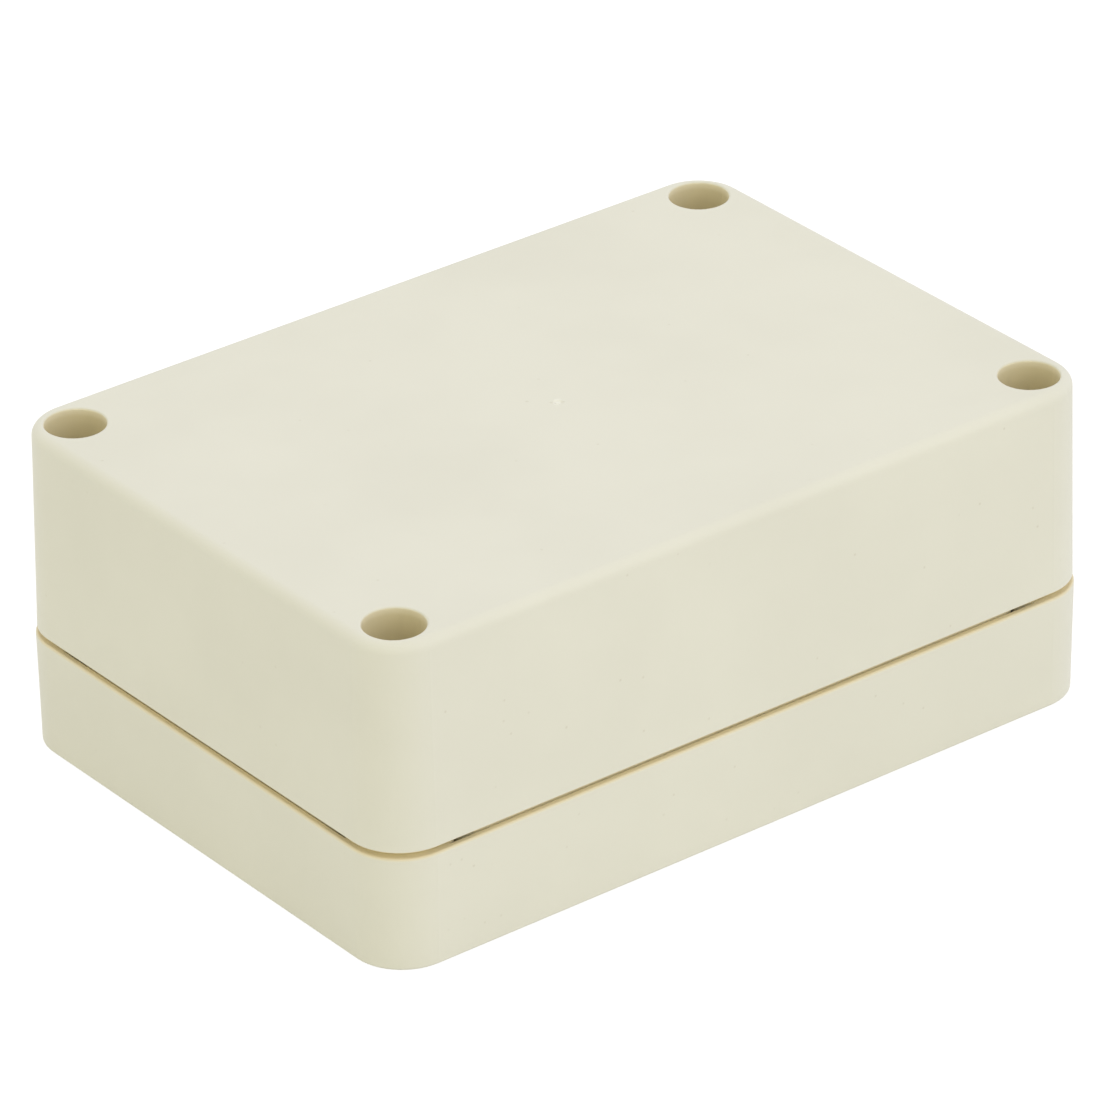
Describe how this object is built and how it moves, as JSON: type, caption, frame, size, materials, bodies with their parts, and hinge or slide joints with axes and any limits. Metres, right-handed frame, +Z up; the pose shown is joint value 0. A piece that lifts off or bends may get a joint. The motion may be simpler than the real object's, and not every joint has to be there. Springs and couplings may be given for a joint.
{
  "type": "sealed project box",
  "caption": "Small rectangular plastic project box: a deep lift-off cover on a shallow base, sealed by a gasket and held by screws sunk in corner wells.",
  "frame": {"origin": "centre of the underside, on the surface the box stands on", "axes": "+X along the long side, +Y along the short side, +Z up through the cover"},
  "size_m": [0.083, 0.0578, 0.033],
  "materials": {
    "shell_plastic": "fine spark-eroded texture, light grey-cream ABS",
    "gasket_rubber": "matt black",
    "washer_rubber": "matt black",
    "insert_brass": "turned and knurled",
    "screw_steel": "plain stainless"
  },
  "bodies": {
    "base": {"base_shell": "shell_plastic", "seal_gasket": "gasket_rubber", "thread_insert_front_left": "insert_brass", "thread_insert_front_right": "insert_brass", "thread_insert_back_right": "insert_brass", "thread_insert_back_left": "insert_brass"},
    "cover": {"cover_shell": "shell_plastic"},
    "washer_front_left": {"screw_washer_front_left": "washer_rubber"},
    "screw_front_left": {"cover_screw_front_left": "screw_steel"},
    "washer_front_right": {"screw_washer_front_right": "washer_rubber"},
    "screw_front_right": {"cover_screw_front_right": "screw_steel"},
    "washer_back_right": {"screw_washer_back_right": "washer_rubber"},
    "screw_back_right": {"cover_screw_back_right": "screw_steel"},
    "washer_back_left": {"screw_washer_back_left": "washer_rubber"},
    "screw_back_left": {"cover_screw_back_left": "screw_steel"}
  },
  "joints": [
    {"name": "cover_lift", "type": "slide", "parent": "base", "child": "cover", "axis": [0, 0, 1], "range_m": [0, 0.06]},
    {"name": "washer_rise_front_left", "type": "slide", "parent": "cover", "child": "washer_front_left", "axis": [0, 0, 1], "range_m": [0, 0.0075]},
    {"name": "screw_turn_front_left", "type": "hinge", "parent": "washer_front_left", "child": "screw_front_left", "pos_m": [-0.0367, -0.02415, 0.0188], "axis": [0, 0, 1], "range_deg": [0, 5400]},
    {"name": "washer_rise_front_right", "type": "slide", "parent": "cover", "child": "washer_front_right", "axis": [0, 0, 1], "range_m": [0, 0.0075]},
    {"name": "screw_turn_front_right", "type": "hinge", "parent": "washer_front_right", "child": "screw_front_right", "pos_m": [0.0367, -0.02415, 0.0188], "axis": [0, 0, 1], "range_deg": [0, 5400]},
    {"name": "washer_rise_back_right", "type": "slide", "parent": "cover", "child": "washer_back_right", "axis": [0, 0, 1], "range_m": [0, 0.0075]},
    {"name": "screw_turn_back_right", "type": "hinge", "parent": "washer_back_right", "child": "screw_back_right", "pos_m": [0.0367, 0.02415, 0.0188], "axis": [0, 0, 1], "range_deg": [0, 5400]},
    {"name": "washer_rise_back_left", "type": "slide", "parent": "cover", "child": "washer_back_left", "axis": [0, 0, 1], "range_m": [0, 0.0075]},
    {"name": "screw_turn_back_left", "type": "hinge", "parent": "washer_back_left", "child": "screw_back_left", "pos_m": [-0.0367, 0.02415, 0.0188], "axis": [0, 0, 1], "range_deg": [0, 5400]}
  ],
  "couplings": [
    {"joint": "screw_turn_front_left", "follows": "washer_rise_front_left", "rad_per_m": 12566},
    {"joint": "screw_turn_front_right", "follows": "washer_rise_front_right", "rad_per_m": 12566},
    {"joint": "screw_turn_back_right", "follows": "washer_rise_back_right", "rad_per_m": 12566},
    {"joint": "screw_turn_back_left", "follows": "washer_rise_back_left", "rad_per_m": 12566}
  ]
}
